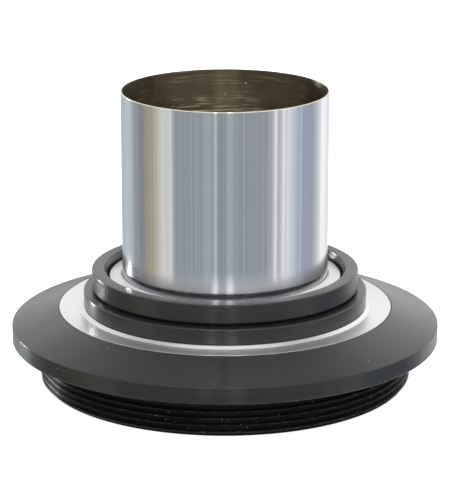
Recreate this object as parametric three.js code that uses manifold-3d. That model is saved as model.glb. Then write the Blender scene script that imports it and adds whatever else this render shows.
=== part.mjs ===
// Barlow nosepiece for a camera: a push-in chrome tube that holds a negative doublet, carried by a
// height-adjustable ring on a flange with a T2 thread. Millimetres, +Z up along the optical axis,
// origin at the centre of the threaded end face.
// Threads between two pieces are plain cylinders with a small gap. The T2 thread is cut as rings.
import * as THREE from "three";
import { mergeVertices } from "three/addons/utils/BufferGeometryUtils.js";
import Module from "manifold-3d";

const wasm = await Module();
wasm.setup();

// Standard interfaces.
const TUBE_DIAMETER = 23.2;
const THREAD_DIAMETER = 42;
const THREAD_PITCH = 0.75;
const THREAD_DEPTH = 0.613 * THREAD_PITCH;

// Gaps.
const FACE_GAP = 0.05; // between faces that rest on each other
const FIT_GAP = 0.05; // radial, between pieces that are screwed or pressed together
const TURN_GAP = 0.1; // radial, where one piece turns in another
const TRAVEL = 1.2; // free height for the carrier ring to screw upwards

// Heights of the main faces.
const SHOULDER_Z = 4.8; // underside of the flange
const FLANGE_TOP_Z = 6.65;
const CONE_TOP_Z = 8.45;
const SEAT_Z = 8.62; // bright land that the lock ring bears on
const LOCK_RING_TOP_Z = 10.43;
const CARRIER_Z = 10.72;
const CARRIER_TOP_Z = 12.85;
const DISC_TOP_Z = 12.05;
const RIM_Z = 33.2;

// Radii of the main faces.
const THREAD_RADIUS = THREAD_DIAMETER / 2;
const FLANGE_RADIUS = 24.15;
const BUSH_RADIUS = 18.8;
const SHANK_RADIUS = 16.2;
const LOCK_RING_RADIUS = 16;
const CARRIER_RADIUS = 15.05;
const NECK_RADIUS = 13.85;
const RECESS_RADIUS = 13.37;
const DISC_RADIUS = 13.1;
const SPIGOT_RADIUS = 12.45;
const TUBE_RADIUS = TUBE_DIAMETER / 2;
const TUBE_WALL = 0.5;
const TUBE_BORE = TUBE_RADIUS - TUBE_WALL;
const BODY_BORE = 18.2; // camera side of the flange body

// Edges.
const CHAMFER = 0.1;
const WIDE_CHAMFER = 0.3;

// Flange body.
const WEB_TOP_Z = 5.6; // the bush head rests on it
const WEB_THICKNESS = 1.2;
const WEB_BOTTOM_Z = WEB_TOP_Z - WEB_THICKNESS;
const FIRST_CREST_Z = 0.5;
const CRESTS = 6;
const RELIEF_DEPTH = 0.14; // thread run-out groove, below the thread's root
const LEAD_IN_RADIUS = 20.45;

// Bush, its nut, and the ring that ends the carrier's travel.
const LAND_MARGIN = 0.04; // the land is this much wider than the lock ring
const LAND_BEVEL = 0.34;
const BUSH_BOTTOM_Z = 3.2;
const STOP_TOP_Z = BUSH_BOTTOM_Z - TRAVEL;
const STOP_THICKNESS = 1;
const STOP_RADIUS = 14.9;
const STEP_DEPTH = 0.55; // reduced end of the carrier's neck

// Carrier ring's recess and the tube's mouth.
const RECESS_BEVEL = 0.25;
const RECESS_BEVEL_DEPTH = 0.45;
const RIM_WIDTH = 0.16;
const MOUTH_FLARE_DEPTH = 7; // the bore widens over this depth, up to the thin rim

// Tube seat.
const DISC_THICKNESS = 1;
const DISC_BOTTOM_Z = DISC_TOP_Z - DISC_THICKNESS;
const SPIGOT_BOTTOM_Z = 7.5;
const SEAT_LIP = 0.5;

// Optics, from the camera side upwards.
const LENS_RADIUS = 9.05;
const LENS_SEAT_Z = 13.45;
const CLEAR_RADIUS = 8.3;
const FLINT_THICKNESS = 2.2;
const CROWN_THICKNESS = 1.4;
const CAMERA_SIDE_CURVE = 90;
const CEMENTED_CURVE = 32;
const SKY_SIDE_CURVE = 55;
const CURVE_STEPS = 5;
const CELL_BOTTOM_Z = 12.5;
const CELL_TOP_Z = 20.4;
const RETAINER_RADIUS = 9.5;
const RETAINER_THICKNESS = 1.55;
const CELL_RING_THICKNESS = 1.4;
const CELL_RING_BORE = 9.6;
const STOP_Z = 24;
const GLARE_STOP_THICKNESS = 0.8;
const GLARE_STOP_BORE = 8.8;
const BAFFLE_BOTTOM_Z = 2;
const BAFFLE_BORE = 10.8;
const BAFFLE_LIP = 0.7;

// Spanner slots.
const SLOT_WIDTH = 1;
const SLOT_DEPTH = 0.6;

const OUTER_SEGMENTS = 60;
const INNER_SEGMENTS = 40;

const FINISHES = {
  blackAnodised: { color: 0x2b2c2e, roughness: 0.45, metalness: 0.6 },
  bareAluminium: { color: 0xdfe2e4, roughness: 0.3, metalness: 1 },
  chrome: { color: 0xc9ced4, roughness: 0.06, metalness: 1 },
  mattBlack: { color: 0x141415, roughness: 0.85, metalness: 0.2 },
  glass: { color: 0xcfe3e0, roughness: 0.02, metalness: 0, transparent: true, opacity: 0.35 },
};

const barlow = new THREE.Group();

// Turns a closed outline of [radius, height] points, given anticlockwise, about the optical axis.
function turned(outline, segments) {
  const points = [...outline, outline[0]].map(([radius, height]) => new THREE.Vector2(radius, height));
  return new THREE.LatheGeometry(points, segments).rotateX(Math.PI / 2);
}

// Turns an outline that starts and ends on the optical axis.
function turnedSolid(outline, segments) {
  const points = outline.map(([radius, height]) => new THREE.Vector2(radius, height));
  return new THREE.LatheGeometry(points, segments).rotateX(Math.PI / 2);
}

function solidFrom(geometry) {
  const bare = geometry.clone().deleteAttribute("normal").deleteAttribute("uv");
  const merged = mergeVertices(bare, 1e-4);
  return new wasm.Manifold(
    new wasm.Mesh({
      numProp: 3,
      vertProperties: new Float32Array(merged.attributes.position.array),
      triVerts: new Uint32Array(merged.index.array),
    }),
  );
}

function geometryFrom(solid) {
  const mesh = solid.getMesh();
  const geometry = new THREE.BufferGeometry();
  geometry.setAttribute("position", new THREE.BufferAttribute(mesh.vertProperties, 3));
  geometry.setIndex(new THREE.BufferAttribute(mesh.triVerts, 1));
  geometry.computeVertexNormals();
  return geometry;
}

// Cuts one slot across the whole ring, which leaves two slots for a pin spanner.
function withSpannerSlots(geometry, outerRadius, slotZ) {
  const length = 2 * outerRadius + 2;
  const cutter = new THREE.BoxGeometry(length, SLOT_WIDTH, 2 * SLOT_DEPTH).translate(0, 0, slotZ);
  return geometryFrom(solidFrom(geometry).subtract(solidFrom(cutter)));
}

function addPiece(name, geometry, finish) {
  const piece = new THREE.Mesh(geometry, new THREE.MeshStandardMaterial(FINISHES[finish]));
  piece.name = name;
  barlow.add(piece);
}

// Height that a spherical face of the given curve has lost at a radius.
function sag(curve, radius) {
  return curve - Math.sqrt(curve * curve - radius * radius);
}

// Points of a spherical face, from the axis to the lens edge.
function lensFace(heightAt) {
  return Array.from({ length: CURVE_STEPS + 1 }, (_, step) => {
    const radius = (LENS_RADIUS * step) / CURVE_STEPS;
    return [radius, heightAt(radius)];
  });
}

function threadOutline() {
  const root = THREAD_RADIUS - THREAD_DEPTH;
  return Array.from({ length: CRESTS }, (_, turn) => {
    const crestZ = FIRST_CREST_Z + turn * THREAD_PITCH;
    return [
      [THREAD_RADIUS, crestZ],
      [root, crestZ + THREAD_PITCH / 2],
    ];
  }).flat();
}

function addFlangeBody() {
  const reliefRadius = THREAD_RADIUS - THREAD_DEPTH - RELIEF_DEPTH;
  const outline = [
    [BODY_BORE + WIDE_CHAMFER, 0],
    [LEAD_IN_RADIUS, 0],
    ...threadOutline(),
    [reliefRadius, SHOULDER_Z - CHAMFER],
    [THREAD_RADIUS + CHAMFER, SHOULDER_Z],
    [FLANGE_RADIUS - CHAMFER, SHOULDER_Z],
    [FLANGE_RADIUS, SHOULDER_Z + CHAMFER],
    [FLANGE_RADIUS, FLANGE_TOP_Z - CHAMFER],
    [FLANGE_RADIUS - 1.5 * CHAMFER, FLANGE_TOP_Z],
    [BUSH_RADIUS + FIT_GAP, CONE_TOP_Z],
    [BUSH_RADIUS + FIT_GAP, WEB_TOP_Z],
    [SHANK_RADIUS + FIT_GAP, WEB_TOP_Z],
    [SHANK_RADIUS + FIT_GAP, WEB_BOTTOM_Z],
    [BODY_BORE, WEB_BOTTOM_Z],
    [BODY_BORE, WIDE_CHAMFER],
  ];
  addPiece("flange_body", turned(outline, OUTER_SEGMENTS), "blackAnodised");
}

function addSeatBush() {
  const bore = NECK_RADIUS + TURN_GAP;
  const landRadius = LOCK_RING_RADIUS + LAND_MARGIN;
  const outline = [
    [bore, BUSH_BOTTOM_Z],
    [SHANK_RADIUS, BUSH_BOTTOM_Z],
    [SHANK_RADIUS, WEB_TOP_Z + FACE_GAP],
    [BUSH_RADIUS, WEB_TOP_Z + FACE_GAP],
    [BUSH_RADIUS, CONE_TOP_Z],
    [landRadius + LAND_BEVEL, SEAT_Z - LAND_BEVEL],
    [landRadius, SEAT_Z],
    [bore, SEAT_Z],
  ];
  addPiece("seat_bush", turned(outline, OUTER_SEGMENTS), "bareAluminium");
}

function addBushNut() {
  const outerRadius = BODY_BORE - FIT_GAP;
  const outline = [
    [SHANK_RADIUS + FIT_GAP, BUSH_BOTTOM_Z],
    [outerRadius, BUSH_BOTTOM_Z],
    [outerRadius, WEB_BOTTOM_Z - FACE_GAP],
    [SHANK_RADIUS + FIT_GAP, WEB_BOTTOM_Z - FACE_GAP],
  ];
  const blank = turned(outline, OUTER_SEGMENTS);
  addPiece("bush_nut", withSpannerSlots(blank, outerRadius, BUSH_BOTTOM_Z), "blackAnodised");
}

function addLockRing() {
  const bore = NECK_RADIUS + TURN_GAP;
  const bottom = SEAT_Z + FACE_GAP;
  const outline = [
    [bore, bottom],
    [LOCK_RING_RADIUS - CHAMFER, bottom],
    [LOCK_RING_RADIUS, bottom + CHAMFER],
    [LOCK_RING_RADIUS, LOCK_RING_TOP_Z - CHAMFER],
    [LOCK_RING_RADIUS - CHAMFER, LOCK_RING_TOP_Z],
    [bore, LOCK_RING_TOP_Z],
  ];
  addPiece("lock_ring", turned(outline, OUTER_SEGMENTS), "blackAnodised");
}

function addCarrierRing() {
  const bore = SPIGOT_RADIUS + FIT_GAP;
  const outline = [
    [bore, STOP_TOP_Z - STOP_THICKNESS],
    [NECK_RADIUS - STEP_DEPTH, STOP_TOP_Z - STOP_THICKNESS],
    [NECK_RADIUS - STEP_DEPTH, STOP_TOP_Z],
    [NECK_RADIUS, STOP_TOP_Z],
    [NECK_RADIUS, CARRIER_Z],
    [CARRIER_RADIUS - CHAMFER, CARRIER_Z],
    [CARRIER_RADIUS, CARRIER_Z + CHAMFER],
    [CARRIER_RADIUS, CARRIER_TOP_Z - WIDE_CHAMFER],
    [CARRIER_RADIUS - WIDE_CHAMFER, CARRIER_TOP_Z],
    [RECESS_RADIUS + RECESS_BEVEL, CARRIER_TOP_Z],
    [RECESS_RADIUS, CARRIER_TOP_Z - RECESS_BEVEL_DEPTH],
    [RECESS_RADIUS, DISC_BOTTOM_Z - FACE_GAP],
    [bore, DISC_BOTTOM_Z - FACE_GAP],
  ];
  addPiece("carrier_ring", turned(outline, OUTER_SEGMENTS), "blackAnodised");
}

function addTravelStopRing() {
  const bottom = STOP_TOP_Z - STOP_THICKNESS + FACE_GAP;
  const bore = NECK_RADIUS - STEP_DEPTH + FIT_GAP;
  const outline = [
    [bore, bottom],
    [STOP_RADIUS, bottom],
    [STOP_RADIUS, STOP_TOP_Z - FACE_GAP],
    [bore, STOP_TOP_Z - FACE_GAP],
  ];
  const blank = turned(outline, INNER_SEGMENTS);
  addPiece("travel_stop_ring", withSpannerSlots(blank, STOP_RADIUS, bottom - SLOT_DEPTH / 2), "blackAnodised");
}

function addNosepieceBase() {
  const bore = TUBE_RADIUS + FIT_GAP;
  const outline = [
    [bore - SEAT_LIP, SPIGOT_BOTTOM_Z],
    [SPIGOT_RADIUS, SPIGOT_BOTTOM_Z],
    [SPIGOT_RADIUS, DISC_BOTTOM_Z],
    [DISC_RADIUS, DISC_BOTTOM_Z],
    [DISC_RADIUS, DISC_TOP_Z - CHAMFER],
    [DISC_RADIUS - CHAMFER, DISC_TOP_Z],
    [bore, DISC_TOP_Z],
    [bore, SPIGOT_BOTTOM_Z + SEAT_LIP],
    [bore - SEAT_LIP, SPIGOT_BOTTOM_Z + SEAT_LIP],
  ];
  addPiece("nosepiece_base", turned(outline, OUTER_SEGMENTS), "chrome");
}

function addNosepieceTube() {
  const bottom = SPIGOT_BOTTOM_Z + SEAT_LIP + FACE_GAP;
  const outline = [
    [TUBE_BORE, bottom],
    [TUBE_RADIUS, bottom],
    [TUBE_RADIUS, RIM_Z - CHAMFER],
    [TUBE_RADIUS - CHAMFER / 2, RIM_Z],
    [TUBE_RADIUS - RIM_WIDTH, RIM_Z],
    [TUBE_BORE, RIM_Z - MOUTH_FLARE_DEPTH],
  ];
  addPiece("nosepiece_tube", turned(outline, OUTER_SEGMENTS), "chrome");
}

function addRearBaffle() {
  const top = SPIGOT_BOTTOM_Z - FACE_GAP;
  const outline = [
    [BAFFLE_BORE - BAFFLE_LIP, BAFFLE_BOTTOM_Z],
    [SPIGOT_RADIUS, BAFFLE_BOTTOM_Z],
    [SPIGOT_RADIUS, top],
    [BAFFLE_BORE, top],
    [BAFFLE_BORE, BAFFLE_BOTTOM_Z + BAFFLE_LIP],
  ];
  addPiece("rear_baffle", turned(outline, INNER_SEGMENTS), "mattBlack");
}

const flintCameraZ = LENS_SEAT_Z + FACE_GAP + sag(CAMERA_SIDE_CURVE, LENS_RADIUS);
const flintSkyZ = flintCameraZ + FLINT_THICKNESS;
const crownCameraZ = flintSkyZ + FACE_GAP;
const crownSkyZ = crownCameraZ + CROWN_THICKNESS;
const crownEdgeZ = crownSkyZ + sag(SKY_SIDE_CURVE, LENS_RADIUS);
const retainerZ = crownEdgeZ + FACE_GAP;

// Positive meniscus, convex towards the sky.
function addFlintLens() {
  const cameraFace = lensFace((radius) => flintCameraZ - sag(CAMERA_SIDE_CURVE, radius));
  const skyFace = lensFace((radius) => flintSkyZ - sag(CEMENTED_CURVE, radius));
  const geometry = turnedSolid([...cameraFace, ...skyFace.reverse()], INNER_SEGMENTS);
  addPiece("barlow_flint_lens", geometry, "glass");
}

// Biconcave element that makes the doublet negative.
function addCrownLens() {
  const cameraFace = lensFace((radius) => crownCameraZ - sag(CEMENTED_CURVE, radius));
  const skyFace = lensFace((radius) => crownSkyZ + sag(SKY_SIDE_CURVE, radius));
  const geometry = turnedSolid([...cameraFace, ...skyFace.reverse()], INNER_SEGMENTS);
  addPiece("barlow_crown_lens", geometry, "glass");
}

function addLensCell() {
  const outerRadius = TUBE_BORE - FIT_GAP;
  const outline = [
    [CLEAR_RADIUS, CELL_BOTTOM_Z],
    [outerRadius, CELL_BOTTOM_Z],
    [outerRadius, CELL_TOP_Z],
    [RETAINER_RADIUS + FIT_GAP, CELL_TOP_Z],
    [RETAINER_RADIUS + FIT_GAP, retainerZ - FACE_GAP],
    [LENS_RADIUS + FIT_GAP, retainerZ - FACE_GAP],
    [LENS_RADIUS + FIT_GAP, LENS_SEAT_Z],
    [CLEAR_RADIUS, LENS_SEAT_Z],
  ];
  addPiece("lens_cell", turned(outline, INNER_SEGMENTS), "mattBlack");
}

function addLensRetainingRing() {
  const top = retainerZ + RETAINER_THICKNESS;
  const outline = [
    [CLEAR_RADIUS, retainerZ],
    [RETAINER_RADIUS, retainerZ],
    [RETAINER_RADIUS, top],
    [CLEAR_RADIUS, top],
  ];
  const blank = turned(outline, INNER_SEGMENTS);
  addPiece("lens_retaining_ring", withSpannerSlots(blank, RETAINER_RADIUS, top), "mattBlack");
}

function addCellLockRing() {
  const outerRadius = TUBE_BORE - FIT_GAP;
  const bottom = CELL_TOP_Z + FACE_GAP;
  const top = bottom + CELL_RING_THICKNESS;
  const outline = [
    [CELL_RING_BORE, bottom],
    [outerRadius, bottom],
    [outerRadius, top],
    [CELL_RING_BORE, top],
  ];
  const blank = turned(outline, INNER_SEGMENTS);
  addPiece("cell_lock_ring", withSpannerSlots(blank, outerRadius, top), "mattBlack");
}

function addGlareStop() {
  const outerRadius = TUBE_BORE - FIT_GAP;
  const outline = [
    [GLARE_STOP_BORE + GLARE_STOP_THICKNESS, STOP_Z],
    [outerRadius, STOP_Z],
    [outerRadius, STOP_Z + GLARE_STOP_THICKNESS],
    [GLARE_STOP_BORE, STOP_Z + GLARE_STOP_THICKNESS],
  ];
  addPiece("glare_stop", turned(outline, INNER_SEGMENTS), "mattBlack");
}

addFlangeBody();
addSeatBush();
addBushNut();
addLockRing();
addCarrierRing();
addTravelStopRing();
addNosepieceBase();
addNosepieceTube();
addRearBaffle();
addFlintLens();
addCrownLens();
addLensCell();
addLensRetainingRing();
addCellLockRing();
addGlareStop();

export default barlow;
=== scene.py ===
"""The looks of the barlow camera nosepiece: fine turned pieces, their materials, the studio and camera."""
import math

import bmesh
import bpy
import numpy as np
from mathutils import Matrix, Vector


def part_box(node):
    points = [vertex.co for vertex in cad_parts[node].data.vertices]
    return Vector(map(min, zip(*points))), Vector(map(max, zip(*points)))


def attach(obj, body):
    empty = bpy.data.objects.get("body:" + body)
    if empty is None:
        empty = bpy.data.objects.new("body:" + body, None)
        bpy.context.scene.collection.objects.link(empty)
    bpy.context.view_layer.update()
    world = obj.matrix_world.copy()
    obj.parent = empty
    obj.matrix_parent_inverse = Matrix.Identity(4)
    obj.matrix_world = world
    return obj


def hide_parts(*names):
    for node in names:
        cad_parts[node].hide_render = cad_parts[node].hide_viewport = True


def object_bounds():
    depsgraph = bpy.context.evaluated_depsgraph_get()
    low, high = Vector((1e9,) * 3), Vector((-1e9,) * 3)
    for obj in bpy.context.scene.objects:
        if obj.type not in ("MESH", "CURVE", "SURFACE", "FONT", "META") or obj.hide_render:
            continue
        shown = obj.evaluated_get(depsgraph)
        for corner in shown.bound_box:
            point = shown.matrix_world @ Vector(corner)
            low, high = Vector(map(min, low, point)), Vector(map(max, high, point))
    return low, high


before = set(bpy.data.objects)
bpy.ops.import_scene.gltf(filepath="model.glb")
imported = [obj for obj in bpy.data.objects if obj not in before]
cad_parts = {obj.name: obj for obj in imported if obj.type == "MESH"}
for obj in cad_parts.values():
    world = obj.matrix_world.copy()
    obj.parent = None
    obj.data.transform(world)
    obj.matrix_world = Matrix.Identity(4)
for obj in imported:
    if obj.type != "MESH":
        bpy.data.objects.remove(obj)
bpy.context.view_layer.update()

MM = 0.001

# Fineness of the round pieces.
COLUMNS = 320
THREAD_COLUMNS = 400
ROWS_PER_PITCH = 20
FILLET_STEPS = 4
FACE_STEPS = 16
ROWS_PER_LINE = 3

# A fillet takes at most this share of an edge. The tolerances are in millimetres, the weld in metres and the
# angle in degrees.
FILLET_SHARE = 0.45
HEIGHT_TOLERANCE = 1e-6
RADIUS_TOLERANCE = 0.01
WELD_DISTANCE = 1e-7
SHARP_ANGLE = 40

# Sizes inside the pieces, in millimetres. The outer ones come from the frame.

# Clearances: between fixed pieces, round the turning neck, and over the lock ring.
GAP = 0.05
TURN_GAP = 0.1
LOCK_GAP = 0.29

# Camera thread. The two flats are shares of the pitch. The relief starts, is full and ends at these depths
# below the shoulder, and the thread's material, darkened with painted shade, ends just below it.
PITCH = 0.75
GROOVE_DEPTH = 0.613 * PITCH
CREST_FLAT = 0.125
ROOT_FLAT = 0.25
THREAD_INSET = 3.15
RELIEF_DEPTH = 0.14
RELIEF_START = 0.45
RELIEF_FULL = 0.25
RELIEF_END = 0.1
LEAD_IN = 0.55
CREST_BAND = 0.02
THREAD_MARGIN = 0.1
SHADED_THREAD_DROP = 0.05

# Flange body.
SHOULDER = 4.8
FLANGE_EDGE = 6.65
FLANGE_CHAMFER = 0.1
CORNER_INSET = 0.06
CORNER_DROP = 0.04
CONE_TOP_WIDTH = 0.08
CONE_TOP_DROP = 0.02
CONE_MOUTH = 0.1
BODY_BORE = 18.2
BORE_CHAMFER = 0.3
WEB_BOTTOM = 4.4
WEB_TOP = 5.6

# Seat bush, whose bevel is the bright ring's edge. Two close rows end the bevel at the black cone.
SHANK = 16.2
SEAT_BEVEL = 0.34
SEAT_MARGIN = 0.04
SEAT_ROW_DROP = 0.025
SEAT_ROW_RISE = 0.005

# Lock ring and carrier ring.
LOCK_FOOT = 0.06
LOCK_EDGE = 0.12
LOCK_BORE_EDGE = 0.15
NECK = 13.85
NECK_STEP = 0.55
NECK_STEP_HEIGHT = 1
CARRIER_EDGE = 0.08
RECESS = 13.37
RECESS_BEVEL = 0.25
RECESS_BEVEL_DEPTH = 0.45
RECESS_LIP = 0.02
RECESS_LIP_DEPTH = 0.06
RECESS_FLOOR = 11.0

# Base of the tube, with a ledge under the tube and a thin cuff round its foot.
SPIGOT = 12.45
BASE_EDGE = 0.08
BASE_LEDGE = 0.5
CUFF = 0.15
CUFF_TIP = 0.01

# Tube: the rim's bright edge and its flat, and the turned lines of the bore.
TUBE_WALL = 0.5
RIM_EDGE = 0.04
RIM_WIDTH = 0.16
MOUTH_FLARE_DEPTH = 7.0
BORE_LINE_STEP = 0.33
BORE_LINE_DEPTH = 0.008
BORE_LINES_START = 0.2
BORE_LINES_END = 9.0

# Heights between which the bore's tool marks fade, and painted shade turns its brass from lighter to darker.
MARKS_TOP = 30.6
MARKS_FADE = 2.2
SHADE_BOTTOM = 29.0
SHADE_TOP = 33.0

# The duller band on the chrome: its soft lower edge, where it starts to fade, and its end. The roughness is
# what it adds below the edge and above it.
RUB_BOTTOM = 13.07
RUB_EDGE_BELOW = 0.1
RUB_EDGE_ABOVE = 0.05
RUB_FULL = 0.6
RUB_TOP = 16.0
RUB_ROUGHNESS = (0.05, 0.165)

# Inner rings and lenses.
LENS_CLEAR = 8.3
LENS_BEVEL = 0.12
CELL_RING_WIDTH = 1.45
STOP_RING_GRIP = 0.5
RING_FILLET = 0.08
SLOT_WIDTH = 1.0
SLOT_DEPTH = 0.6
SLOT_OVERRUN = 1

# Lamps and floor, in metres, and the pieces that the narrow back lamp lights.
LAMP_DISTANCE = 0.6
FLOOR_HALF_SIZE = 3.0
FLOOR_DROP = 0.02 * MM
FLOOR_GLOW = 0.7
LAMP_PIECES = [
    "fine_flange_body",
    "fine_lock_ring",
    "fine_carrier_ring",
    "fine_nosepiece_base",
    "fine_nosepiece_tube",
]

# Camera, in millimetres and degrees.
CAMERA_DISTANCE = 266.3
CAMERA_ELEVATION = 15.93
CAMERA_TARGET = 14.56
CAMERA_LENS = 168.7
CAMERA_SENSOR = 36
CAMERA_CLIP = 10


def extent(cad_node):
    """Outer radius, bottom and top of a round CAD node, in millimetres."""
    low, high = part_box(cad_node)
    return high.x / MM, low.z / MM, high.z / MM


# ---------------------------------------------------------------- mesh making


def filleted(outline):
    """Rounds the corners of an anticlockwise closed outline of (radius, height, fillet) points.

    Returns rows of (radius, height, wear), where wear is 1 in the middle of each convex corner."""
    rows = []
    for index, (radius, height, fillet) in enumerate(outline):
        corner = Vector((radius, height))
        before = Vector(outline[index - 1][:2]) - corner
        after = Vector(outline[(index + 1) % len(outline)][:2]) - corner
        reach = min(fillet, FILLET_SHARE * before.length, FILLET_SHARE * after.length)
        if reach <= 0:
            rows.append((radius, height, 0.0))
            continue
        start = corner + before.normalized() * reach
        end = corner + after.normalized() * reach
        convex = before.x * after.y - before.y * after.x < 0
        for step in range(FILLET_STEPS + 1):
            s = step / FILLET_STEPS
            point = start * (1 - s) ** 2 + corner * (2 * s * (1 - s)) + end * s**2
            rows.append((point.x, point.y, 4 * s * (1 - s) if convex else 0.0))
    return rows


def densified(rows, low, high, step):
    """Splits the stretches of a closed row list that lie between two heights into steps of that height."""
    result = []
    for index, row in enumerate(rows):
        result.append(row)
        following = rows[(index + 1) % len(rows)]
        inside = all(low - HEIGHT_TOLERANCE <= r[1] <= high + HEIGHT_TOLERANCE for r in (row, following))
        count = math.ceil(abs(following[1] - row[1]) / step - HEIGHT_TOLERANCE) if inside else 1
        for part in range(1, count):
            t = part / count
            result.append(tuple(a + (b - a) * t for a, b in zip(row, following)))
    return result


def revolved(name, rows, columns=COLUMNS, shape_at=None, closed=True):
    """A mesh turned about the optical axis from (radius, height, wear) rows.

    shape_at, if given, changes the radii and the wear by height and angle."""
    angles = np.linspace(0, 2 * math.pi, columns, endpoint=False)
    row_array = np.array(rows, float)
    radii = np.repeat(row_array[:, 0:1], columns, axis=1)
    heights = np.repeat(row_array[:, 1:2], columns, axis=1)
    wear = np.repeat(row_array[:, 2:3], columns, axis=1)
    if shape_at is not None:
        radii, wear = shape_at(radii, heights, angles[None, :], wear)
    points = np.stack([radii * np.cos(angles), radii * np.sin(angles), heights], axis=-1) * MM
    count = len(rows)
    j, i = np.meshgrid(np.arange(count if closed else count - 1), np.arange(columns), indexing="ij")
    j_next, i_next = (j + 1) % count, (i + 1) % columns
    corners = [j * columns + i, j * columns + i_next, j_next * columns + i_next, j_next * columns + i]
    quads = np.stack(corners, axis=-1)
    mesh = bpy.data.meshes.new(name)
    mesh.from_pydata(points.reshape(-1, 3).tolist(), [], quads.reshape(-1, 4).tolist())
    attribute = mesh.attributes.new("wear", "FLOAT", "POINT")
    attribute.data.foreach_set("value", wear.ravel().astype(np.float32))
    mesh.polygons.foreach_set("use_smooth", [True] * len(mesh.polygons))
    mesh.update()
    return mesh


def piece(name, mesh, body, nodes, slot, *materials):
    """Puts a mesh in the scene as a piece that rides on a body and stands for its CAD nodes."""
    obj = bpy.data.objects.new(name, mesh)
    bpy.context.scene.collection.objects.link(obj)
    for material in materials:
        mesh.materials.append(material)
    weighted = obj.modifiers.new("even shading", "WEIGHTED_NORMAL")
    weighted.keep_sharp = True
    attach(obj, body)
    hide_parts(*nodes)


def paint(mesh, index, chosen):
    """Gives a material index to the faces whose radius and height, in millimetres, pass a test."""
    for polygon in mesh.polygons:
        centre = polygon.center / MM
        if chosen(math.hypot(centre.x, centre.y), centre.z):
            polygon.material_index = index


def weld(mesh):
    """Joins the points that fall together on the axis, and drops the empty faces there."""
    work = bmesh.new()
    work.from_mesh(mesh)
    bmesh.ops.remove_doubles(work, verts=work.verts, dist=WELD_DISTANCE)
    bmesh.ops.dissolve_degenerate(work, edges=work.edges, dist=WELD_DISTANCE)
    work.to_mesh(mesh)
    work.free()
    return mesh


def slotted(mesh, outer_radius, height):
    """Cuts two spanner slots, opposite each other, into a ring, centred on a height in millimetres."""
    cutter_mesh = bpy.data.meshes.new("cutter")
    work = bmesh.new()
    length = 2 * (outer_radius + SLOT_OVERRUN)
    size = Matrix.Diagonal((length, SLOT_WIDTH, 2 * SLOT_DEPTH, 1 / MM)) * MM
    bmesh.ops.create_cube(work, size=1.0, matrix=Matrix.Translation((0, 0, height * MM)) @ size)
    work.to_mesh(cutter_mesh)
    work.free()
    ring = bpy.data.objects.new("ring", mesh)
    cutter = bpy.data.objects.new("cutter", cutter_mesh)
    for obj in (ring, cutter):
        bpy.context.scene.collection.objects.link(obj)
    cut = ring.modifiers.new("slots", "BOOLEAN")
    cut.object = cutter
    cut.operation = "DIFFERENCE"
    cut.solver = "EXACT"
    graph = bpy.context.evaluated_depsgraph_get()
    result = bpy.data.meshes.new_from_object(ring.evaluated_get(graph), depsgraph=graph)
    for obj in (ring, cutter):
        bpy.data.objects.remove(obj)
    result.polygons.foreach_set("use_smooth", [True] * len(result.polygons))
    result.set_sharp_from_angle(angle=math.radians(SHARP_ANGLE))
    return result


# ---------------------------------------------------------------- materials

# Most values of a noise texture lie between these two.
NOISE_LOW = 0.3
NOISE_HIGH = 0.7

# How much rougher or smoother the anodised metal gets from place to place.
ANODISED_UNEVENNESS = 0.03

DUST = (0.3, 0.3, 0.3)
PALE_DUST = (0.9, 0.88, 0.8)
DULL_ALUMINIUM = (0.74, 0.75, 0.765)
BRIGHT_ALUMINIUM = (0.8, 0.805, 0.815)
DARK_BRASS = (0.085, 0.064, 0.038)
BROWN_BRASS = (0.14, 0.11, 0.07)
MARKED_BRASS = (0.75, 0.62, 0.42)
DULL_CUT_BRASS = (0.62, 0.56, 0.42)
BRIGHT_CUT_BRASS = (0.86, 0.82, 0.68)
GLARE_PAINT = (0.008, 0.008, 0.008)
WORN_GLARE_PAINT = (0.02, 0.02, 0.021)
GREEN_GLASS = (0.9, 0.97, 0.94)
CLEAR_GLASS = (0.95, 1.0, 0.97)
GREEN_COATING = (0.55, 0.95, 0.75)
FLOOR_DARK = (0.86, 0.86, 0.86)
FLOOR_PALE = (0.88, 0.88, 0.88)
WHITE = (1.0, 1.0, 1.0)


def link(tree, value, socket):
    """Links another node's output to an input, or sets the input to a number, a colour or a vector."""
    if isinstance(value, bpy.types.NodeSocket):
        tree.links.new(value, socket)
    elif isinstance(value, tuple) and socket.type == "RGBA":
        socket.default_value = (*value[:3], 1.0)
    else:
        socket.default_value = value


def node(tree, kind, inputs=None, **settings):
    """Adds a node, sets its properties, and links or sets its inputs by name or number."""
    made = tree.nodes.new(kind)
    for key, value in settings.items():
        setattr(made, key, value)
    for key, value in (inputs or {}).items():
        link(tree, value, made.inputs[key])
    return made


def calc(tree, operation, *values):
    """The result of one operation on numbers."""
    return node(tree, "ShaderNodeMath", dict(enumerate(values)), operation=operation).outputs[0]


def vector_calc(tree, operation, first, second):
    """The result of one operation on two colours or vectors."""
    return node(tree, "ShaderNodeVectorMath", {0: first, 1: second}, operation=operation).outputs[0]


def mixed(tree, factor, first, second):
    """A colour between two colours: the first where the factor is 0, and the second where it is 1."""
    made = node(tree, "ShaderNodeMix", data_type="RGBA")
    link(tree, factor, made.inputs[0])
    link(tree, first, made.inputs[6])
    link(tree, second, made.inputs[7])
    return made.outputs[2]


def ranged(tree, value, low, high, to_low=0.0, to_high=1.0):
    """Maps a value from one range to another, and stops at its ends."""
    return node(tree, "ShaderNodeMapRange", {0: value, 1: low, 2: high, 3: to_low, 4: to_high}).outputs[0]


def spread(tree, value, to_low=0.0, to_high=1.0):
    """Maps the usual values of a noise texture to a range."""
    return ranged(tree, value, NOISE_LOW, NOISE_HIGH, to_low, to_high)


def toned(tone, *parts):
    """A colour whose three parts are multiplied by a tone."""
    return tuple(part * tone for part in parts)


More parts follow.
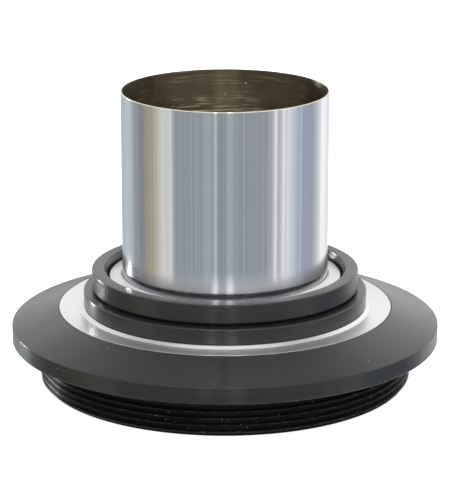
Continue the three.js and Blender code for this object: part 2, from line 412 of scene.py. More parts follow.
def new_material(name):
    """A material with one principled surface: returns it, its node tree and the surface."""
    material = bpy.data.materials.new(name)
    material.use_nodes = True
    tree = material.node_tree
    tree.nodes.clear()
    surface = node(tree, "ShaderNodeBsdfPrincipled")
    output = node(tree, "ShaderNodeOutputMaterial")
    tree.links.new(surface.outputs[0], output.inputs[0])
    return material, tree, surface


def object_point(tree):
    """The point of the surface, in metres."""
    return node(tree, "ShaderNodeTexCoord").outputs["Object"]


def object_height(tree):
    """The height of that point."""
    return node(tree, "ShaderNodeSeparateXYZ", {0: object_point(tree)}).outputs[2]


def noise(tree, point, per_mm, detail, roughness=0.5):
    """Soft noise at a point, from 0 to 1."""
    inputs = {"Vector": point, "Scale": per_mm / MM, "Detail": detail, "Roughness": roughness}
    return node(tree, "ShaderNodeTexNoise", inputs).outputs[0]


def turning_lines(tree, per_mm, detail=2.0):
    """Noise that only changes with radius and height, as a lathe tool leaves it, from 0 to 1."""
    x, y, z = node(tree, "ShaderNodeSeparateXYZ", {0: object_point(tree)}).outputs
    radius = calc(tree, "SQRT", calc(tree, "ADD", calc(tree, "MULTIPLY", x, x), calc(tree, "MULTIPLY", y, y)))
    place = node(tree, "ShaderNodeCombineXYZ", {0: radius, 1: 0.0, 2: z}).outputs[0]
    return noise(tree, place, per_mm, detail, 0.65)


def cloud(tree, per_mm, detail=3.0):
    """Soft noise over the surface, from 0 to 1."""
    return noise(tree, object_point(tree), per_mm, detail)


def specks(tree, per_mm, share):
    """Small dots of dust, in a share of the cells: 1 on a dot and 0 elsewhere."""
    cells = node(tree, "ShaderNodeTexVoronoi", {"Vector": object_point(tree), "Scale": per_mm / MM})
    near = ranged(tree, cells.outputs["Distance"], 0.12, 0.2, 1.0, 0.0)
    chosen = node(tree, "ShaderNodeSeparateColor", {0: cells.outputs["Color"]}).outputs[0]
    return calc(tree, "MULTIPLY", near, calc(tree, "LESS_THAN", chosen, share))


def wear_mask(tree, amount):
    """Worn corners: strong in the middle of a rounded corner, broken up by noise."""
    corner = node(tree, "ShaderNodeAttribute", attribute_name="wear").outputs["Fac"]
    broken = ranged(tree, cloud(tree, 1.1, 4.0), 0.35, 0.7)
    return calc(tree, "MULTIPLY", calc(tree, "MULTIPLY", corner, broken), amount)


def set_grain(tree, surface, amount):
    """Stretches the gloss across the circular tool marks."""
    around = node(tree, "ShaderNodeTangent", direction_type="RADIAL", axis="Z").outputs[0]
    link(tree, amount, surface.inputs["Anisotropic"])
    link(tree, 0.25, surface.inputs["Anisotropic Rotation"])
    link(tree, around, surface.inputs["Tangent"])


def set_bump(tree, surface, height, depth_mm):
    """Roughens the surface by a depth."""
    bump = node(tree, "ShaderNodeBump", {"Height": height, "Distance": depth_mm * MM})
    link(tree, bump.outputs[0], surface.inputs["Normal"])


def black_anodised(name, tone=0.01, gloss=0.5, roughness=0.25, wear=0.06, dust=0.004, crest=(0.3, 0.3, 0.31)):
    """Dyed oxide over turned aluminium: dark satin with circular tool marks, rubbed corners and dust."""
    material, tree, surface = new_material(name)
    lines = turning_lines(tree, 5.0, 1.0)
    patches = cloud(tree, 0.25)
    dark = mixed(tree, patches, toned(tone, 0.85, 0.95, 1.0), toned(tone, 1.05, 1.15, 1.2))
    lined = mixed(tree, ranged(tree, lines, 0.4, 0.7), dark, toned(tone, 1.2, 1.25, 1.3))
    worn = mixed(tree, wear_mask(tree, wear), lined, crest)
    dusty = mixed(tree, specks(tree, 3.0, dust), worn, DUST)
    link(tree, dusty, surface.inputs["Base Color"])
    link(tree, gloss, surface.inputs["Specular IOR Level"])
    changes = (spread(tree, part, -ANODISED_UNEVENNESS, ANODISED_UNEVENNESS) for part in (lines, patches))
    uneven = calc(tree, "ADD", *changes)
    link(tree, calc(tree, "ADD", uneven, roughness), surface.inputs["Roughness"])
    set_grain(tree, surface, 0.9)
    set_bump(tree, surface, lines, 0.0008)
    return material


def bare_aluminium(name):
    """Bright turned aluminium, with fine circular tool marks."""
    material, tree, surface = new_material(name)
    lines = turning_lines(tree, 7.0, 3.0)
    colour = mixed(tree, spread(tree, lines), DULL_ALUMINIUM, BRIGHT_ALUMINIUM)
    link(tree, colour, surface.inputs["Base Color"])
    link(tree, 1.0, surface.inputs["Metallic"])
    link(tree, spread(tree, turning_lines(tree, 3.0), 0.24, 0.34), surface.inputs["Roughness"])
    set_grain(tree, surface, 0.9)
    set_bump(tree, surface, lines, 0.0008)
    return material


def chrome_plate(name, roughness=0.06, lines_depth=0.0, tone=1.0):
    """Chrome with a haze along the axis from polishing in a lathe, and duller just above the tube's foot."""
    material, tree, surface = new_material(name)
    haze = cloud(tree, 0.35, 5.0)
    plated = mixed(tree, haze, toned(tone, 0.78, 0.795, 0.82), toned(tone, 0.83, 0.84, 0.86))
    link(tree, plated, surface.inputs["Base Color"])
    link(tree, 1.0, surface.inputs["Metallic"])
    rough = ranged(tree, haze, 0.3, 0.75, roughness * 0.85, roughness * 1.15)
    height = object_height(tree)
    edge = ((RUB_BOTTOM - RUB_EDGE_BELOW) * MM, (RUB_BOTTOM + RUB_EDGE_ABOVE) * MM)
    rubbed = ranged(tree, height, *edge, *RUB_ROUGHNESS)
    fade = ranged(tree, height, (RUB_BOTTOM + RUB_FULL) * MM, RUB_TOP * MM, 1.0, 0.0)
    link(tree, calc(tree, "ADD", rough, calc(tree, "MULTIPLY", rubbed, fade)), surface.inputs["Roughness"])
    set_grain(tree, surface, 0.95)
    if lines_depth:
        set_bump(tree, surface, turning_lines(tree, 8.0), lines_depth)
    return material


def bare_brass(name):
    """The unplated bore: brown brass, lightened low down and darkened towards the rim by painted shade, with
    broken bright tool marks and dust.
    """
    material, tree, surface = new_material(name)
    stain = cloud(tree, 0.45, 5.0)
    base = mixed(tree, stain, DARK_BRASS, BROWN_BRASS)
    height = object_height(tree)
    # Painted shade and light: the brass's colour is raised low in the bore and lowered towards the rim.
    shade = ranged(tree, height, SHADE_BOTTOM * MM, SHADE_TOP * MM, 1.35, 0.72)
    base = vector_calc(tree, "MULTIPLY", base, shade)
    strength = ranged(tree, height, (MARKS_TOP - MARKS_FADE) * MM, MARKS_TOP * MM, 1.0, 0.15)
    squeezed = vector_calc(tree, "MULTIPLY", object_point(tree), (0.05, 0.05, 1.0))
    dashes = noise(tree, squeezed, 5.0, 3.0)
    marks = calc(tree, "MULTIPLY", ranged(tree, dashes, 0.54, 0.64), ranged(tree, cloud(tree, 0.3), 0.4, 0.6))
    marks = calc(tree, "MULTIPLY", marks, strength)
    bright = mixed(tree, marks, base, MARKED_BRASS)
    dusty = mixed(tree, specks(tree, 2.5, 0.02), bright, PALE_DUST)
    link(tree, dusty, surface.inputs["Base Color"])
    link(tree, 0.9, surface.inputs["Metallic"])
    link(tree, spread(tree, stain, 0.3, 0.42), surface.inputs["Roughness"])
    set_grain(tree, surface, 0.85)
    set_bump(tree, surface, turning_lines(tree, 5.0, 4.0), 0.004)
    return material


def cut_edge(name):
    """The narrow rim of the tube, where the cutter left the brass bright."""
    material, tree, surface = new_material(name)
    colour = mixed(tree, cloud(tree, 0.6), DULL_CUT_BRASS, BRIGHT_CUT_BRASS)
    link(tree, colour, surface.inputs["Base Color"])
    link(tree, 1.0, surface.inputs["Metallic"])
    link(tree, 0.45, surface.inputs["Roughness"])
    return material


def matt_black(name):
    """Glare paint: very dark, rough and slightly grainy."""
    material, tree, surface = new_material(name)
    grain = cloud(tree, 9.0)
    link(tree, mixed(tree, grain, GLARE_PAINT, WORN_GLARE_PAINT), surface.inputs["Base Color"])
    link(tree, spread(tree, grain, 0.6, 0.8), surface.inputs["Roughness"])
    set_bump(tree, surface, calc(tree, "ADD", grain, turning_lines(tree, 4.0)), 0.01)
    return material


def coated_glass(name):
    """Optical glass with a faint green coating."""
    material, tree, surface = new_material(name)
    colour = mixed(tree, cloud(tree, 0.05, 1.0), GREEN_GLASS, CLEAR_GLASS)
    link(tree, colour, surface.inputs["Base Color"])
    link(tree, 1.0, surface.inputs["Transmission Weight"])
    link(tree, 1.52, surface.inputs["IOR"])
    link(tree, ranged(tree, cloud(tree, 0.8, 5.0), 0.3, 0.8, 0.0, 0.02), surface.inputs["Roughness"])
    link(tree, GREEN_COATING, surface.inputs["Specular Tint"])
    return material


# ---------------------------------------------------------------- pieces
# An outline is a list of (radius, height, fillet) points in millimetres, anticlockwise from inside the foot.


def helical_groove(crest_radius):
    """Cuts a right-hand thread with flat crests and roots into rows below the shoulder.

    Its flanks are 54 degrees apart, because the groove has the standard's depth between two flats."""

    def shape_at(radii, heights, angles, wear):
        phase = np.mod(heights / PITCH - angles / (2 * math.pi), 1.0)
        from_root = np.abs(phase - 0.5) * 2
        flank = 1 - CREST_FLAT - ROOT_FLAT
        depth = np.clip((1 - CREST_FLAT - from_root) / flank, 0, 1) * GROOVE_DEPTH
        cut = (heights < SHOULDER - RELIEF_DEPTH) & (radii > crest_radius - LEAD_IN - THREAD_MARGIN)
        on_crest = cut & (radii > crest_radius - CREST_BAND) & (depth < RADIUS_TOLERANCE)
        threaded = np.where(cut, np.minimum(radii, crest_radius - depth), radii)
        return threaded, np.where(on_crest, 1.0, wear)

    return shape_at


def make_flange_body(black, shaded_thread_black):
    """The wide flange with its black cone, and the camera thread under it."""
    flange, bottom, top = extent("flange_body")
    bush = extent("seat_bush")[0] + GAP
    crest = flange - THREAD_INSET
    relief = crest - GROOVE_DEPTH - RELIEF_DEPTH
    outline = [
        (BODY_BORE + BORE_CHAMFER, bottom, 0.04),
        (crest - LEAD_IN, bottom, 0.04),
        (crest, bottom + LEAD_IN, 0.05),
        (crest, SHOULDER - RELIEF_START, 0.03),
        (relief, SHOULDER - RELIEF_FULL, 0.05),
        (relief, SHOULDER - RELIEF_END, 0.08),
        (crest + FLANGE_CHAMFER, SHOULDER, 0.05),
        (flange - FLANGE_CHAMFER, SHOULDER, 0.03),
        (flange, SHOULDER + FLANGE_CHAMFER, 0.03),
        (flange, FLANGE_EDGE - CORNER_DROP, 0.02),
        (flange - CORNER_INSET, FLANGE_EDGE, 0.02),
        (bush + CONE_TOP_WIDTH, top - CONE_TOP_DROP, 0.03),
        (bush, top - CONE_MOUTH, 0.02),
        (bush, WEB_TOP, 0.05),
        (SHANK + GAP, WEB_TOP, 0.05),
        (SHANK + GAP, WEB_BOTTOM, 0.05),
        (BODY_BORE, WEB_BOTTOM, 0.05),
        (BODY_BORE, bottom + BORE_CHAMFER, 0.04),
    ]
    rows = densified(filleted(outline), bottom, SHOULDER, PITCH / ROWS_PER_PITCH)
    mesh = revolved("flange_body_fine", rows, THREAD_COLUMNS, helical_groove(crest))
    # Painted shade: the thread's faces get the copy of the anodised material that is darkened for the shade
    # under the flange.
    paint(mesh, 1, lambda radius, height: radius > BODY_BORE and height < SHOULDER - SHADED_THREAD_DROP)
    piece("fine_flange_body", mesh, "flange", ["flange_body"], "black_anodised", black, shaded_thread_black)


def make_seat_bush(aluminium):
    """The bright ring inside the black cone, on which the lock ring lies."""
    bush, bottom, seat = extent("seat_bush")
    lock = extent("lock_ring")[0]
    cone_top = extent("flange_body")[2]
    bore = NECK + TURN_GAP
    outline = [
        (bore, bottom, 0.1),
        (SHANK, bottom, 0.1),
        (SHANK, WEB_TOP + GAP, 0.05),
        (bush, WEB_TOP + GAP, 0.05),
        (bush, cone_top - SEAT_ROW_DROP, 0.0),
        (bush - SEAT_ROW_DROP, cone_top + SEAT_ROW_RISE, 0.0),
        (lock + SEAT_MARGIN + SEAT_BEVEL, seat - SEAT_BEVEL, 0.08),
        (lock + SEAT_MARGIN, seat, 0.03),
        (bore, seat, 0.1),
    ]
    mesh = revolved("seat_bush_fine", filleted(outline))
    piece("fine_seat_bush", mesh, "flange", ["seat_bush"], "bare_aluminium", aluminium)


def make_lock_ring(black):
    """The plain ring on the bright seat."""
    outer, bottom, top = extent("lock_ring")
    bore = NECK + TURN_GAP
    outline = [
        (bore, bottom, 0.1),
        (outer - LOCK_FOOT, bottom, 0.03),
        (outer, bottom + LOCK_FOOT, 0.03),
        (outer, top - LOCK_EDGE, 0.04),
        (outer - LOCK_EDGE, top, 0.04),
        (bore + LOCK_BORE_EDGE, top, 0.05),
        (bore, top - LOCK_BORE_EDGE, 0.05),
    ]
    mesh = revolved("lock_ring_fine", filleted(outline))
    piece("fine_lock_ring", mesh, "lock", ["lock_ring"], "black_anodised", black)


def make_carrier_ring(black):
    """The ring with the recess for the tube's base, and its neck down through the lock ring and the bush."""
    outer, bottom, top = extent("carrier_ring")
    stop_top = bottom + NECK_STEP_HEIGHT
    bore = SPIGOT + GAP
    under = extent("lock_ring")[2] + LOCK_GAP
    outline = [
        (bore, bottom, 0.1),
        (NECK - NECK_STEP, bottom, 0.1),
        (NECK - NECK_STEP, stop_top, 0.05),
        (NECK, stop_top, 0.1),
        (NECK, under, 0.05),
        (outer - CARRIER_EDGE, under, 0.04),
        (outer, under + CARRIER_EDGE, 0.04),
        (outer, top - CARRIER_EDGE, 0.04),
        (outer - CARRIER_EDGE, top, 0.04),
        (RECESS + RECESS_BEVEL + RECESS_LIP, top, 0.02),
        (RECESS + RECESS_BEVEL, top - RECESS_LIP_DEPTH, 0.02),
        (RECESS, top - RECESS_BEVEL_DEPTH, 0.04),
        (RECESS, RECESS_FLOOR, 0.05),
        (bore, RECESS_FLOOR, 0.05),
    ]
    mesh = revolved("carrier_ring_fine", filleted(outline))
    piece("fine_carrier_ring", mesh, "carrier", ["carrier_ring"], "black_anodised", black)


def make_nosepiece_base(chrome):
    """The satin disc at the foot of the tube."""
    outer, bottom, top = extent("nosepiece_base")
    bore = extent("nosepiece_tube")[0] + GAP
    outline = [
        (bore - BASE_LEDGE, bottom, 0.05),
        (SPIGOT, bottom, 0.1),
        (SPIGOT, RECESS_FLOOR + GAP, 0.05),
        (outer, RECESS_FLOOR + GAP, 0.05),
        (outer, top - BASE_EDGE, 0.06),
        (outer - BASE_EDGE, top, 0.06),
        (bore + CUFF, top, 0.06),
        (bore + CUFF_TIP, top + CUFF, 0.0),
        (bore, top + CUFF, 0.0),
        (bore, bottom + BASE_LEDGE, 0.05),
        (bore - BASE_LEDGE, bottom + BASE_LEDGE, 0.05),
    ]
    mesh = revolved("nosepiece_base_fine", filleted(outline))
    piece("fine_nosepiece_base", mesh, "carrier", ["nosepiece_base"], "chrome_plate", chrome)


def make_nosepiece_tube(chrome, brass, edge):
    """The plated tube, with a bore that flares to a thin rim and has fine turned lines near the mouth."""
    outer, bottom, rim = extent("nosepiece_tube")
    bore = outer - TUBE_WALL
    lowest_line = rim - BORE_LINES_END
    highest_line = rim - BORE_LINES_START
    outline = [
        (bore, bottom, 0.05),
        (outer, bottom, 0.1),
        (outer, rim - RIM_EDGE, 0.03),
        (outer - RIM_EDGE, rim, 0.02),
        (outer - RIM_WIDTH, rim, 0.02),
        (bore, rim - MOUTH_FLARE_DEPTH, 0.5),
    ]
    rows = densified(filleted(outline), bottom, rim, BORE_LINE_STEP / ROWS_PER_LINE)
    flare_end = outer - RIM_WIDTH - RADIUS_TOLERANCE

    def lined(radii, heights, angles, wear):
        tool = np.sin(2 * math.pi * heights / BORE_LINE_STEP)
        inside = (radii < flare_end) & (heights > lowest_line) & (heights < highest_line)
        return np.where(inside, radii + BORE_LINE_DEPTH * tool, radii), wear

    mesh = revolved("nosepiece_tube_fine", rows, COLUMNS, lined)
    paint(mesh, 1, lambda radius, height: radius < outer - RIM_EDGE)
    paint(mesh, 2, lambda radius, height: height > rim - RIM_EDGE)
    piece("fine_nosepiece_tube", mesh, "carrier", ["nosepiece_tube"], "chrome_plate", chrome, brass, edge)


def sag(curve, radius):
    """How far a face with a radius of curvature falls away at a distance from its centre."""
    return curve - math.sqrt(curve * curve - radius * radius)


def lens_mesh(name, edge, low_face, high_face):
    """A lens from the heights of its two faces at a radius, with a fine chamfer round the edge."""
    radii = [(edge - LENS_BEVEL) * step / FACE_STEPS for step in range(FACE_STEPS + 1)]
    rows = [(radius, low_face(radius), 0.0) for radius in radii]
    rows.append((edge, low_face(edge) + LENS_BEVEL, 0.0))
    rows.append((edge, high_face(edge) - LENS_BEVEL, 0.0))
    rows += [(radius, high_face(radius), 0.0) for radius in reversed(radii)]
    return weld(revolved(name, rows, COLUMNS // 2, closed=False))


def make_lenses(glass):
    """The negative doublet: a flint meniscus towards the camera, and a crown lens hollow on both faces."""
    edge, flint_low, flint_high = extent("barlow_flint_lens")
    crown_high = extent("barlow_crown_lens")[2]
    camera_curve, cemented_curve, sky_curve = 90, 32, 55
    crown_centre_high = crown_high - sag(sky_curve, edge)

    def flint_camera(radius):
        return flint_low + sag(camera_curve, edge) - sag(camera_curve, radius)

    def flint_sky(radius):
        return flint_high - sag(cemented_curve, radius)

    def crown_sky(radius):
        return crown_centre_high + sag(sky_curve, radius)

    flint = lens_mesh("flint_fine", edge, flint_camera, flint_sky)
    crown = lens_mesh("crown_fine", edge, lambda radius: flint_sky(radius) + GAP, crown_sky)
    for name, mesh in (("barlow_flint_lens", flint), ("barlow_crown_lens", crown)):
        piece("fine_" + name, mesh, "lift", [name], "optical_glass", glass)


def make_lens_cell(matt):
    """The holder of both lenses, open at the top for the retaining ring."""
    outer, bottom, top = extent("lens_cell")
    lens, seat = extent("barlow_flint_lens")[:2]
    retainer, retainer_bottom = extent("lens_retaining_ring")[:2]
    outline = [
        (LENS_CLEAR, bottom, 0.1),
        (outer, bottom, 0.1),
        (outer, top, 0.1),
        (retainer + GAP, top, 0.06),
        (retainer + GAP, retainer_bottom - GAP, 0.04),
        (lens + GAP, retainer_bottom - GAP, 0.04),
        (lens + GAP, seat - GAP, 0.04),
        (LENS_CLEAR, seat - GAP, 0.04),
    ]
    mesh = revolved("lens_cell_fine", filleted(outline))
    piece("fine_lens_cell", mesh, "carrier", ["lens_cell"], "matt_black_metal", matt)


def make_inner_rings(black, matt):
    """The four slotted rings that nobody sees from outside, but that show from above and below."""
    cell_ring, _, cell_ring_top = extent("cell_lock_ring")
    retainer_top = extent("lens_retaining_ring")[2]
    nut_bottom = extent("bush_nut")[1]
    stop_slot = extent("travel_stop_ring")[1] - SLOT_DEPTH / 2
    rings = [
        ("lens_retaining_ring", "carrier", "matt_black_metal", matt, LENS_CLEAR, retainer_top),
        ("cell_lock_ring", "carrier", "matt_black_metal", matt, cell_ring - CELL_RING_WIDTH, cell_ring_top),
        ("bush_nut", "flange", "black_anodised", black, SHANK + GAP, nut_bottom),
        ("travel_stop_ring", "carrier", "black_anodised", black, NECK - STOP_RING_GRIP, stop_slot),
    ]
    for name, body, finish, material, inner, slot_height in rings:
        outer, bottom, top = extent(name)
        corners = [(inner, bottom), (outer, bottom), (outer, top), (inner, top)]
        mesh = revolved(name + "_fine", filleted([(*corner, RING_FILLET) for corner in corners]))
        piece("fine_" + name, slotted(mesh, outer, slot_height), body, [name], finish, material)


def make_glare_stop(matt):
    """A ring with a thin lip, which cuts off light from the side."""
    outer, bottom, top = extent("glare_stop")
    lip, slope, edge = 8.8, 0.75, 0.06
    outline = [
        (lip + slope, bottom, 0.03),
        (outer, bottom, 0.06),
        (outer, top, 0.06),
        (lip, top, 0.02),
        (lip, top - edge, 0.02),
    ]
    mesh = revolved("glare_stop_fine", filleted(outline))
    piece("fine_glare_stop", mesh, "carrier", ["glare_stop"], "matt_black_metal", matt)


def make_rear_baffle(matt):
    """A short tube with a lip, ribbed inside to catch stray light."""
    outer, bottom, top = extent("rear_baffle")
    bore, lip, rib = 10.8, 0.7, 0.5
    rib_depth, rib_edge = 0.35, 0.05
    outline = [(bore - lip, bottom, 0.04), (outer, bottom, 0.08), (outer, top, 0.08), (bore, top, 0.04)]
    height = top - rib
    while height > bottom + lip + rib:
        outline += [(bore + rib_depth, height, 0.03), (bore, height - rib_edge, 0.02)]
        height -= rib
    outline += [(bore, bottom + lip, 0.04)]
    mesh = revolved("rear_baffle_fine", filleted(outline))
    piece("fine_rear_baffle", mesh, "carrier", ["rear_baffle"], "matt_black_metal", matt)


# ---------------------------------------------------------------- studio

TINTS = {
    "white": (1.0, 1.0, 1.02),
    "cool": (0.9, 0.99, 1.04),
    "blue": (0.86, 0.97, 1.12),
    "lavender": (0.92, 0.98, 1.18),
    "olive": (1.05, 0.98, 0.74),
    "beige": (1.12, 0.98, 0.88),
    "cream": (1.0, 1.03, 0.96),
}

# The room that the mirror tube sees, as (azimuth in degrees, tint, brightness), blended from one to the next.
# Azimuth 0 is behind the camera, and it grows towards +X. The cards were listed to follow the stripes
# measured on the photo's tube.
CARDS = [
    (-180, "cool", 0.72),
    (-168, "cool", 0.62),
    (-155, "cool", 0.54),
    (-144, "cool", 0.62),
    (-127, "cool", 0.56),
    (-121, "cool", 0.41),
    (-104, "white", 0.27),
    (-97, "olive", 0.35),
    (-86, "olive", 0.43),
    (-83, "beige", 0.47),
    (-77, "beige", 0.6),
    (-71, "cream", 0.7),
    (-61, "cream", 0.68),
    (-57, "cool", 0.36),
    (-30, "cool", 0.37),
    (-17, "cool", 0.44),
    (-13, "cool", 0.38),
    (-11, "cool", 0.57),
    (-9.5, "cool", 0.57),
    (-8, "cool", 0.34),
    (1.5, "cool", 0.34),
    (3, "cool", 0.5),
    (5, "cool", 0.49),
    (6, "cool", 0.41),
    (7.5, "cool", 0.52),
    (9, "cool", 0.37),
    (46, "cool", 0.37),
    (55, "white", 0.53),
    (56, "white", 0.86),
    (58.5, "white", 0.86),
    (60, "white", 0.5),
    (64, "white", 0.6),
    (66, "white", 0.82),
    (75, "white", 0.78),
    (84, "blue", 0.62),
    (89, "blue", 0.52),
    (92, "blue", 0.57),
    (96, "lavender", 0.42),
    (112, "lavender", 0.42),
    (120, "white", 0.55),
    (130, "white", 0.84),
    (134, "white", 1.07),
    (144, "white", 1.05),
    (152, "white", 0.86),
    (168, "white", 0.84),
    (180, "white", 1.0),
]

# A colour ramp takes 32 cards, so there is one for each side. They share the plain stretch round azimuth 0.
PLAIN_START = -8
LEFT_CARDS = [card for card in CARDS if card[0] < 0]
RIGHT_CARDS = [card for card in CARDS if card[0] >= PLAIN_START]

# Tall narrow lamps behind the camera, above the horizon, as (azimuth, half width, brightness), in degrees.
STRIPS = [(-10.5, 1.2, 6.0), (5.5, 2.5, 3.5)]
STRIP_BLUR = 1

# Where one zone of the world goes over into the next, in parts of a direction of length 1. By height: the
# room into the tent, the low wall into the high one, the walls into overhead, and that into the zenith.
TENT_START = (-0.08, 0.05)
WALL = (0.3, 0.5)
OVERHEAD = (0.6, 0.8)
ZENITH = (0.88, 0.96)

# The same from front to back, from left to right, and from the middle to both sides.
FRONT_TO_BACK = (-0.3, 0.2)
LEFT_TO_RIGHT = (-0.1, 0.25)
MIDDLE_TO_SIDES = (0.05, 0.2)

# Brightness of the wall in front, low and high, and of the fine streaks and the two sides, as factors.
WALL_GLOW = (1.75, 0.72)
STREAK_GAIN = (0.86, 1.14)
SIDE_GAIN = (1.03, 1.27)
STREAKS_ROUND = 130.0

# Colours of the tent: behind the part, overhead in the middle and at the sides, and at the zenith.
TENT_BACK = (0.95, 0.95, 0.95)
OVERHEAD_MIDDLE = (0.02, 0.06, 0.08)
OVERHEAD_SIDES = (0.52, 0.54, 0.54)
TENT_TOP = (1.3, 1.3, 1.3)


def card_ramp(tree, turn, cards):
    """A colour ramp over the turn, from 0 to 1, through some of the cards."""
    ramp = node(tree, "ShaderNodeValToRGB", {0: turn})
    stops = ramp.color_ramp.elements
    stops.remove(stops[-1])
    for index, (azimuth, tint, brightness) in enumerate(cards):
        place = azimuth / 360 + 0.5
        stop = stops[0] if index == 0 else stops.new(place)
        stop.position = place
        stop.color = (*toned(brightness, *TINTS[tint]), 1.0)
    return ramp.outputs[0]


def make_room(tree, turn):
    """The cards at and below the horizon, with fine streaks."""
    left, right = (card_ramp(tree, turn, cards) for cards in (LEFT_CARDS, RIGHT_CARDS))
    cards = mixed(tree, calc(tree, "GREATER_THAN", turn, 0.5), left, right)
    inputs = {"W": turn, "Scale": STREAKS_ROUND, "Detail": 3.0}
    streaks = node(tree, "ShaderNodeTexNoise", inputs, noise_dimensions="1D").outputs[0]
    return vector_calc(tree, "MULTIPLY", cards, ranged(tree, streaks, 0.25, 0.75, *STREAK_GAIN))


def make_front(tree, turn, height):
    """The wall over the horizon behind the camera, with its tall narrow lamps."""
    glow = ranged(tree, height, *WALL, *WALL_GLOW)
    front = node(tree, "ShaderNodeCombineXYZ", {0: glow, 1: glow, 2: glow}).outputs[0]
    for centre, half_width, brightness in STRIPS:
        off_centre = calc(tree, "ABSOLUTE", calc(tree, "SUBTRACT", turn, centre / 360 + 0.5))
        lit = ranged(tree, off_centre, half_width / 360, (half_width + STRIP_BLUR) / 360, brightness, 0.0)
        front = vector_calc(tree, "ADD", front, lit)
    return front


def make_tent(tree, turn, x, y, height):
    """The tent over the room: the wall in front, a plain back, a dim part overhead and a bright top."""
    above = mixed(tree, ranged(tree, y, *FRONT_TO_BACK), make_front(tree, turn, height), TENT_BACK)
    above = vector_calc(tree, "MULTIPLY", above, ranged(tree, x, *LEFT_TO_RIGHT, *SIDE_GAIN))
    off_axis = ranged(tree, calc(tree, "ABSOLUTE", x), *MIDDLE_TO_SIDES)
    dim = mixed(tree, off_axis, OVERHEAD_MIDDLE, OVERHEAD_SIDES)
    tent = mixed(tree, ranged(tree, height, *OVERHEAD), above, dim)
    return mixed(tree, ranged(tree, height, *ZENITH), tent, TENT_TOP)


def make_world():
    """The room with its tent, as the part sees it. The camera sees plain white."""
    world = bpy.data.worlds.new("studio")
    bpy.context.scene.world = world
    world.use_nodes = True
    tree = world.node_tree
    tree.nodes.clear()
    direction = node(tree, "ShaderNodeTexCoord").outputs["Generated"]
    x, y, height = node(tree, "ShaderNodeSeparateXYZ", {0: direction}).outputs
    azimuth = calc(tree, "ARCTAN2", x, calc(tree, "MULTIPLY", y, -1.0))
    turn = calc(tree, "ADD", calc(tree, "DIVIDE", azimuth, 2 * math.pi), 0.5)
    tent = make_tent(tree, turn, x, y, height)
    seen = mixed(tree, ranged(tree, height, *TENT_START), make_room(tree, turn), tent)
    path = node(tree, "ShaderNodeLightPath").outputs["Is Camera Ray"]
    background = node(tree, "ShaderNodeBackground", {0: mixed(tree, path, seen, WHITE), 1: 1.0})
    output = node(tree, "ShaderNodeOutputWorld")
    tree.links.new(background.outputs[0], output.inputs[0])


def make_light(name, kind, azimuth, elevation, power, size, glossy=True, diffuse=True):
    """A sun, or a round panel at the lamps' distance, in a direction. Its size is an angle or a width."""
    turn, rise = math.radians(azimuth), math.radians(elevation)
    away = Vector((math.sin(turn) * math.cos(rise), -math.cos(turn) * math.cos(rise), math.sin(rise)))
    lamp = bpy.data.lights.new(name, kind)
    lamp.energy = power
    if kind == "SUN":
        lamp.angle = math.radians(size)
    else:
        lamp.shape = "DISK"
        lamp.size = size
    obj = bpy.data.objects.new(name, lamp)
    obj.location = away * LAMP_DISTANCE
    obj.rotation_euler = (-away).to_track_quat("-Z", "Y").to_euler()
    obj.visible_glossy = glossy
    obj.visible_diffuse = diffuse
    bpy.context.scene.collection.objects.link(obj)
    return obj


def make_floor():
    """The plain pale floor. It glows a little, and the part's reflections and bounced light leave it out."""
    mesh = bpy.data.meshes.new("floor")
    work = bmesh.new()
    bmesh.ops.create_grid(work, x_segments=4, y_segments=4, size=FLOOR_HALF_SIZE)
    work.to_mesh(mesh)
    work.free()
    floor = bpy.data.objects.new("floor", mesh)
    floor.location.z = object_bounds()[0].z - FLOOR_DROP
    material, tree, surface = new_material("pale_floor")
    tone = cloud(tree, 0.002, 2.0)
    link(tree, mixed(tree, tone, FLOOR_DARK, FLOOR_PALE), surface.inputs["Base Color"])
    link(tree, 0.9, surface.inputs["Roughness"])
    link(tree, 0.0, surface.inputs["Specular IOR Level"])
    link(tree, WHITE, surface.inputs["Emission Color"])
    link(tree, FLOOR_GLOW, surface.inputs["Emission Strength"])
    mesh.materials.append(material)
    floor.visible_glossy = False
    floor.visible_diffuse = False
    bpy.context.scene.collection.objects.link(floor)


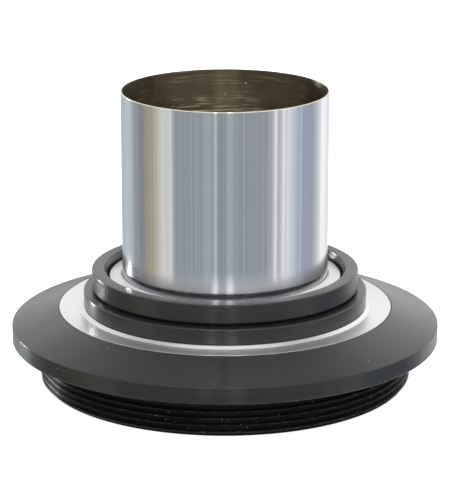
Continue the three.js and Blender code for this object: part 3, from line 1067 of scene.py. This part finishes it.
def make_camera():
    """The camera at the photograph's viewing angle, straight in front of the part."""
    elevation = math.radians(CAMERA_ELEVATION)
    target = Vector((0, 0, CAMERA_TARGET)) * MM
    away = Vector((0, -math.cos(elevation), math.sin(elevation)))
    data = bpy.data.cameras.new("camera")
    data.sensor_width = CAMERA_SENSOR
    data.lens = CAMERA_LENS
    camera = bpy.data.objects.new("camera", data)
    camera.location = target + away * CAMERA_DISTANCE * MM
    camera.rotation_euler = (-away).to_track_quat("-Z", "Y").to_euler()
    data.clip_start = CAMERA_CLIP * MM
    bpy.context.scene.collection.objects.link(camera)
    bpy.context.scene.camera = camera


def make_studio():
    """Camera, world, floor and the two lamps. The back lamp only makes gloss, and only on some pieces."""
    make_camera()
    make_world()
    make_floor()
    make_light("sky panel", "SUN", azimuth=0, elevation=80, power=1.6, size=70, glossy=False)
    lamp = make_light("back lamp", "AREA", azimuth=-129, elevation=3, power=2.4, size=0.09, diffuse=False)
    lit = bpy.data.collections.new("lit by the back lamp")
    for name in LAMP_PIECES:
        lit.objects.link(bpy.data.objects[name])
    lamp.light_linking.receiver_collection = lit
    bpy.context.scene.view_settings.view_transform = "Standard"


def make_object():
    """All fifteen pieces. The thread is dustier than the rest of the anodised metal, and darker by painted
    shade.
    """
    black = black_anodised("black anodised")
    # Painted shade: the thread's lower tone stands in for the shade under the flange; its extra dust and worn
    # crests are its own.
    thread_shade_and_dust_look = {"tone": 0.003, "gloss": 0.09, "roughness": 0.38, "wear": 0.3, "dust": 0.12}
    shaded_thread_black = black_anodised("black anodised thread, darkened by painted shade", crest=(0.1, 0.1, 0.105), **thread_shade_and_dust_look)
    matt = matt_black("matt black")
    make_flange_body(black, shaded_thread_black)
    make_seat_bush(bare_aluminium("bare aluminium"))
    make_lock_ring(black)
    make_carrier_ring(black)
    make_nosepiece_base(chrome_plate("satin chrome", roughness=0.22, lines_depth=0.0006, tone=0.84))
    make_nosepiece_tube(chrome_plate("chrome"), bare_brass("bare brass"), cut_edge("cut brass edge"))
    make_lenses(coated_glass("coated glass"))
    make_lens_cell(matt)
    make_inner_rings(black, matt)
    make_glare_stop(matt)
    make_rear_baffle(matt)


make_object()
make_studio()
